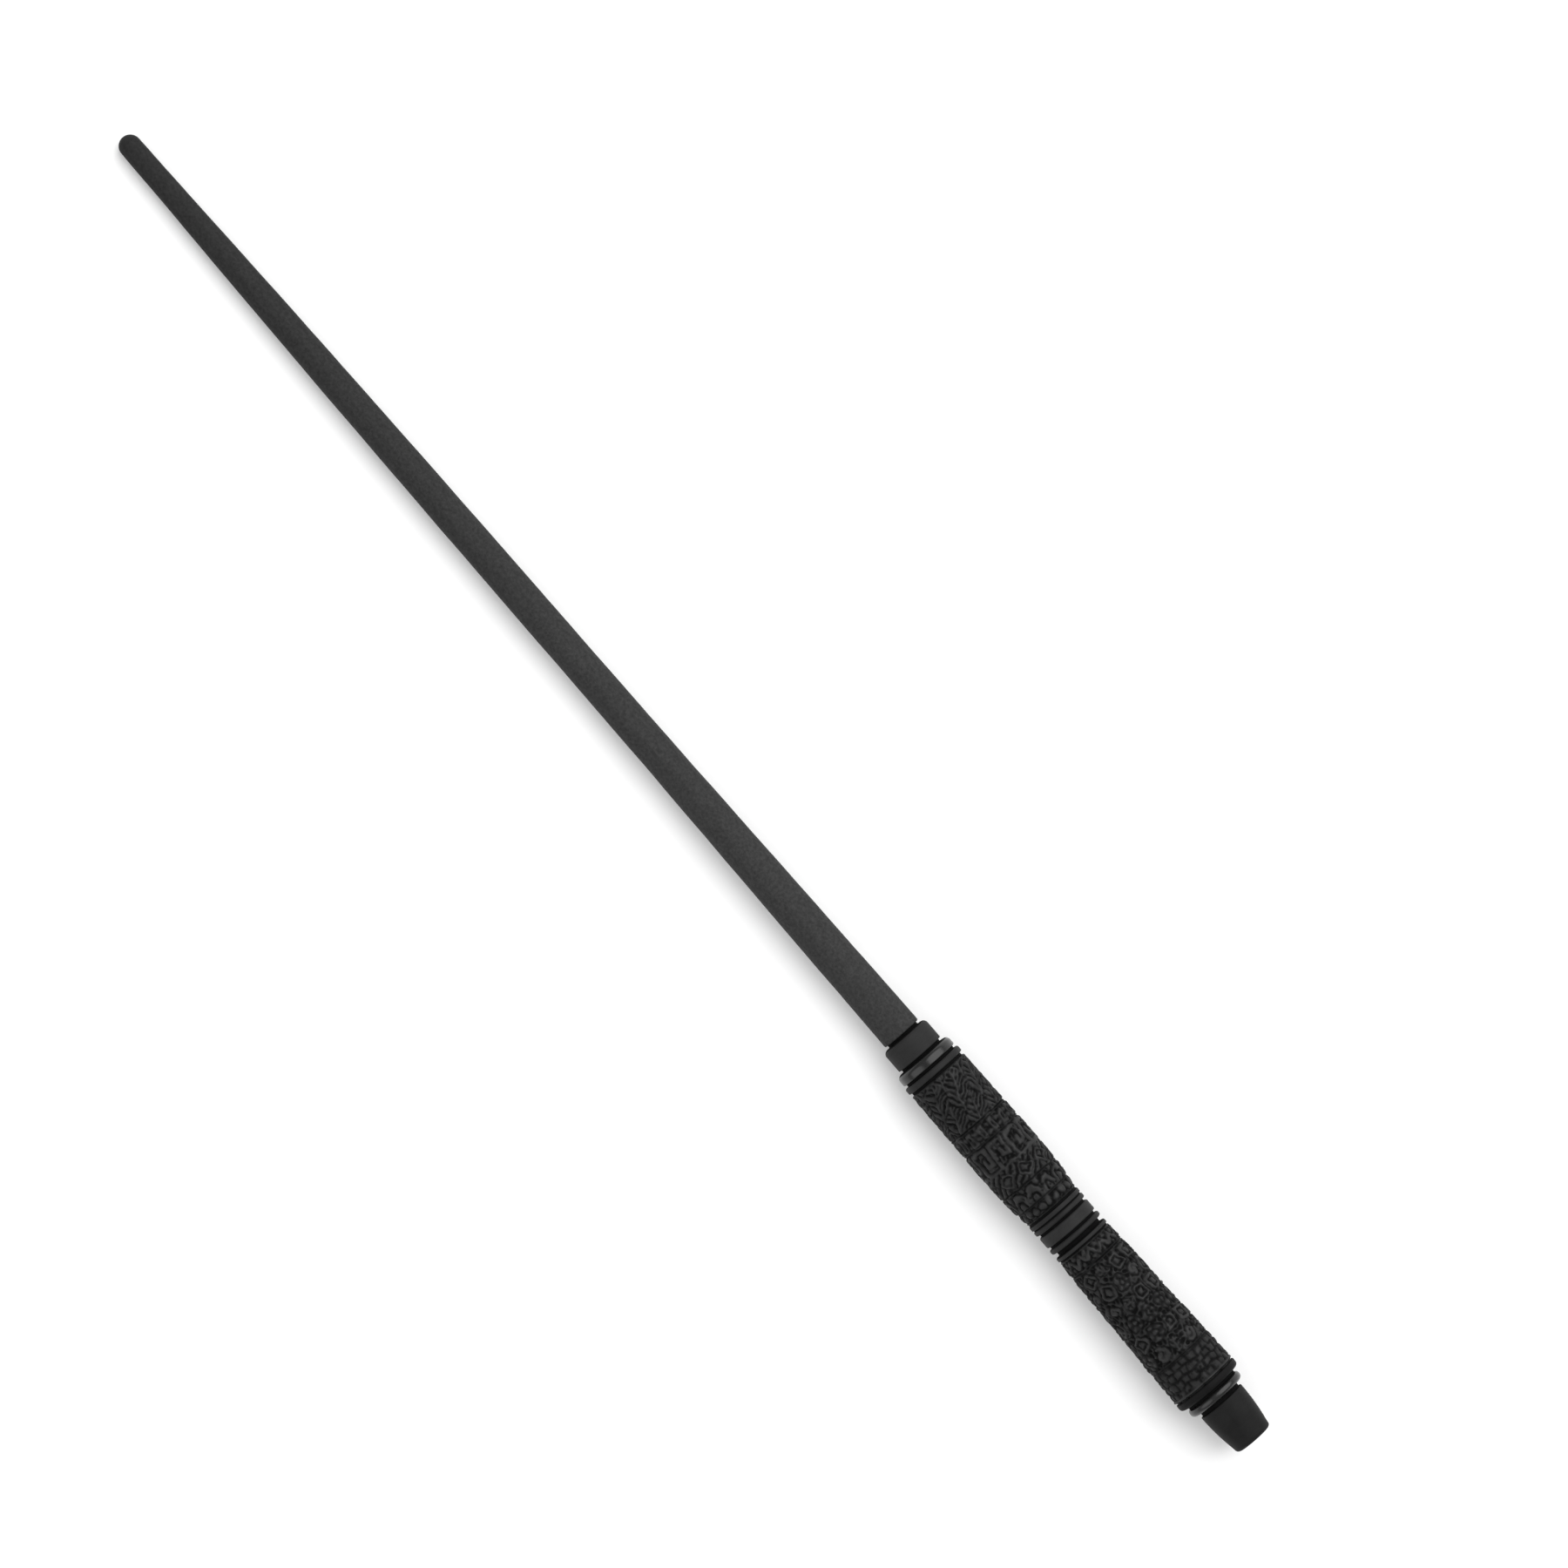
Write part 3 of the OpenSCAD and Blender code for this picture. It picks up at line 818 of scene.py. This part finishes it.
def upper_grip():
    """The front grip, with the rear tenon that carries the waist rings."""
    tenon_rear, front, _ = span("upper_grip")
    neck_rear = span("waist_ring_1")[1]
    rear = neck_rear + FINE_GROOVE
    neck_r = span("waist_ring_1")[2] - FINE_GROOVE
    tenon_r = bore("waist_band") - FIT_GAP
    inner = bore("upper_grip")
    socket = span("shaft")[0] - END_GAP
    top = neck_r + 0.6
    corners = [(front, top, 0), (rear, top, 0), (rear, neck_r, 0.05), (neck_rear, neck_r, 0.03),
               (neck_rear, tenon_r, 0.05), (tenon_rear, tenon_r, 0.3), (tenon_rear, inner, 0.1),
               (socket, inner, 0), (socket, tenon_r + FIT_GAP, 0),
               (front, tenon_r + FIT_GAP, 0.1)]
    piece = carved("upper_grip_carved", "upper_grip", rear, front, UPPER_BANDS, corners, 11)
    place(piece, "wand", "upper_grip", "carved_black", CARVED_BLACK)


def lower_grip():
    """The rear grip, with the pocket for the nut in its rear tenon."""
    tenon_rear, front, _ = span("lower_grip")
    neck_rear = span("end_ring")[1]
    rear = neck_rear + FINE_GROOVE
    neck_r = span("end_ring")[2] - FINE_GROOVE
    end_tenon_r = bore("end_ring") - FIT_GAP
    pocket_r = end_tenon_r - END_WALL
    pocket_front = span("clamp_washer")[1]
    tenon_bore_r = bore("waist_band")
    inner = bore("lower_grip")
    socket = span("upper_grip")[0] - END_GAP
    corners = [(front, neck_r, 0), (rear, neck_r, 0), (neck_rear, neck_r, 0.03),
               (neck_rear, end_tenon_r, 0.05), (tenon_rear, end_tenon_r, 0.15),
               (tenon_rear, pocket_r, 0.2), (pocket_front, pocket_r, 0.1),
               (pocket_front, inner, 0.05), (socket, inner, 0), (socket, tenon_bore_r, 0),
               (front, tenon_bore_r, 0.1)]
    piece = carved("lower_grip_carved", "lower_grip", rear, front, LOWER_BANDS, corners, 23)
    place(piece, "wand", "lower_grip", "carved_black", CARVED_BLACK)


def end_ring():
    """The ring with a rolled rear edge that ends the lower grip."""
    neck_r = span("pommel_bead")[2] - GROOVE
    piece = ring("end_ring", GROOVE, neck_r, 0.9, 0.15)
    place(piece, "wand", "end_ring", "satin_black", END_BLACK)


def clamp():
    """The pressed washer, and the hex nut with its chamfered ends and thread mouths."""
    rear, front, radius = span("clamp_washer")
    inner = bore("clamp_washer")
    washer = turned("clamp_washer_pressed", [(rear, inner, 0.12), (rear, radius, 0.16),
                                             (front, radius, 0.05), (front, inner, 0.05)])
    place(washer, "wand", "clamp_washer", "steel", ZINC)
    rear, front, _ = span("clamp_nut")
    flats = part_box("clamp_nut")[1].y / MM         # two of the nut's flats face along Y
    inner = bore("clamp_nut")
    sixth = math.pi / 3
    angle = np.arange(SEGMENTS) * 2 * math.pi / SEGMENTS
    hexagon = flats / np.cos((angle + sixth / 2) % sixth - sixth / 2)
    limits = [(rear, flats - 0.05), (rear + 0.1, flats + 0.15), (rear + 0.3, flats + 0.6),
              (front - 0.3, flats + 0.6), (front - 0.1, flats + 0.15), (front, flats - 0.05)]
    hole = [(front, inner + 0.25), (front - 0.25, inner), (rear + 0.25, inner),
            (rear, inner + 0.25)]
    radii = [np.minimum(hexagon, limit) for _, limit in limits]
    radii += [np.full(SEGMENTS, r) for _, r in hole]
    stations = [x for x, _ in limits + hole]
    nut = tidy(revolve("clamp_nut_hex", stations, np.array(radii), SEGMENTS))
    place(nut, "wand", "clamp_nut", "steel", ZINC)


def pommel_bead():
    """The bead that is loose on the pommel's spigot."""
    rear, front, radius = span("pommel_bead")
    inner = bore("pommel_bead")
    bead = turned("pommel_bead_turned", [(rear, inner, 0.1), (rear, radius, 0.86),
                                         (front, radius, 0.86), (front, inner, 0.1)])
    place(bead, "bead", "pommel_bead", "gloss_black", GLOSS_BLACK)


def pommel():
    """The tapered pommel, with its neck, its spigot and the pocket for the insert."""
    front = span("pommel")[1]
    spigot_rear = span("pommel_bead")[0]
    spigot_r = bore("pommel_bead") - FIT_GAP
    insert_rear, _, insert_r = span("pommel_insert")
    socket = span("core_rod")[0] - END_GAP
    profile = side("pommel", 0.9, POMMEL_LEN - 0.3, 3.6)
    run = [(x, float(profile(x)), 0) for x in np.linspace(1.0, POMMEL_LEN - 0.32, 16)[1:]]
    corners = [(0, 0, 0), (0, float(profile(0.9)) - 0.06, 0.82)] + run
    corners += [(POMMEL_LEN, float(profile(POMMEL_LEN - 0.3)), 0.25),
                (POMMEL_LEN, POMMEL_NECK_R, 0.15), (spigot_rear, POMMEL_NECK_R, 0.1),
                (spigot_rear, spigot_r, 0.06), (front, spigot_r, 0.15), (front, insert_r, 0.08),
                (insert_rear, insert_r, 0), (insert_rear, ROD_BORE_R, 0),
                (socket, ROD_BORE_R, 0.1), (socket, 0, 0)]
    piece = turned("pommel_turned", corners, POMMEL_NECK_R, POMMEL_LEN - 0.1)
    place(piece, "pommel", "pommel", "satin_black", POMMEL_BLACK)


def pommel_insert():
    """The threaded insert: two knurled lands with a plain waist between them."""
    rear, front, radius = span("pommel_insert")
    inner = bore("pommel_insert")
    stations = np.linspace(rear + 0.2, front - 0.2, 44)
    around = np.arange(SEGMENTS)[None, :] / SEGMENTS * KNURL_LINES
    along = stations[:, None]
    one = np.abs((around + along) % 1 - 0.5) * 2
    two = np.abs((around - along) % 1 - 0.5) * 2
    knurl = KNURL_DEPTH * np.maximum(one, two) ** 3
    land = rise(np.abs(stations - (rear + front) / 2), 0.3, 0.45)[:, None]
    sides = radius - 0.002 - knurl * land - 0.14 * (1 - land)
    plain = np.array([(front, radius - 0.2), (front, inner + 0.2), (front - 0.2, inner),
                      (rear + 0.2, inner), (rear, inner + 0.2), (rear, radius - 0.2)])
    all_stations = np.concatenate([stations, plain[:, 0]])
    all_radii = np.concatenate([sides, np.repeat(plain[:, 1:], SEGMENTS, 1)])
    insert = tidy(revolve("pommel_insert_knurled", all_stations, all_radii, SEGMENTS))
    place(insert, "pommel", "pommel_insert", "brass", BRASS)


shaft()
core_rod()
collar_rings()
waist_rings()
upper_grip()
lower_grip()
end_ring()
clamp()
pommel_bead()
pommel()
pommel_insert()


# ---------------------------------------------------------------- floor, lights and camera

def studio():
    """White light all round, two soft lamps and a pale floor that the wand lies on: it touches the
    lower grip's fullest part and the tip."""
    world = bpy.data.worlds.new("studio")
    world.use_nodes = True
    background = world.node_tree.nodes["Background"]
    background.inputs["Color"].default_value = (1, 1, 1, 1)
    background.inputs["Strength"].default_value = 0.65
    bpy.context.scene.world = world

    rest_x = 17.5                 # the station where the handle is fullest, mm
    rest_r = max(span(node)[2] for node in ("lower_grip", "end_ring"))
    tip_x = span("shaft")[1] - TIP_R
    tilt = math.asin((rest_r - TIP_R) / (tip_x - rest_x))
    reach = 12.0                  # from the floor's middle to its sides, m
    low = -(rest_r + 0.02) * MM   # a hair below the handle
    corners = [(x, y, low + (x - rest_x * MM) * math.tan(tilt))
               for x, y in ((-reach, -reach), (reach, -reach), (reach, reach), (-reach, reach))]
    mesh = bpy.data.meshes.new("floor")
    mesh.from_pydata(corners, [], [(0, 1, 2, 3)])
    floor = bpy.data.objects.new("floor", mesh)
    bpy.context.scene.collection.objects.link(floor)
    n = Nodes("floor_paper")
    n.set(Roughness=0.9)
    fibre = n.noise((1, 1, 1), 40, 4, 0.6)
    mesh.materials.append(n.finish(n.ramp(fibre, [(0.3, 0.86), (0.7, 0.88)])))

    wand_middle = Vector((0.17, 0, 0))

    def lamp(name, position, width, energy):
        data = bpy.data.lights.new(name, "AREA")
        data.shape, data.size, data.energy = "DISK", width, energy
        light = bpy.data.objects.new(name, data)
        light.location = position
        light.rotation_mode = "QUATERNION"
        towards = wand_middle - Vector(position)
        light.rotation_quaternion = towards.to_track_quat("-Z", "Y")
        bpy.context.scene.collection.objects.link(light)

    lamp("key", (0.25, -1.1, 1.3), 2.4, 40)
    lamp("fill", (0.0, 1.2, 1.1), 1.6, 10)
    bpy.context.scene.view_settings.view_transform = "Standard"


def camera():
    """Straight above the wand, which runs from the lower right to the upper left of the frame."""
    distance = 1.6                # above the wand's axis, m
    frame_width = 0.3182          # what the frame takes in at the wand's axis, m
    aim_x, aim_y = 0.1629, -0.0152
    roll = math.radians(229)
    data = bpy.data.cameras.new("camera")
    data.sensor_width = 36
    data.lens = data.sensor_width * distance / frame_width
    data.clip_start, data.clip_end = 0.1, 20
    view = bpy.data.objects.new("camera", data)
    view.location = (aim_x, aim_y, distance)
    view.rotation_euler = (0, 0, roll)
    bpy.context.scene.collection.objects.link(view)
    bpy.context.scene.camera = view


studio()
camera()
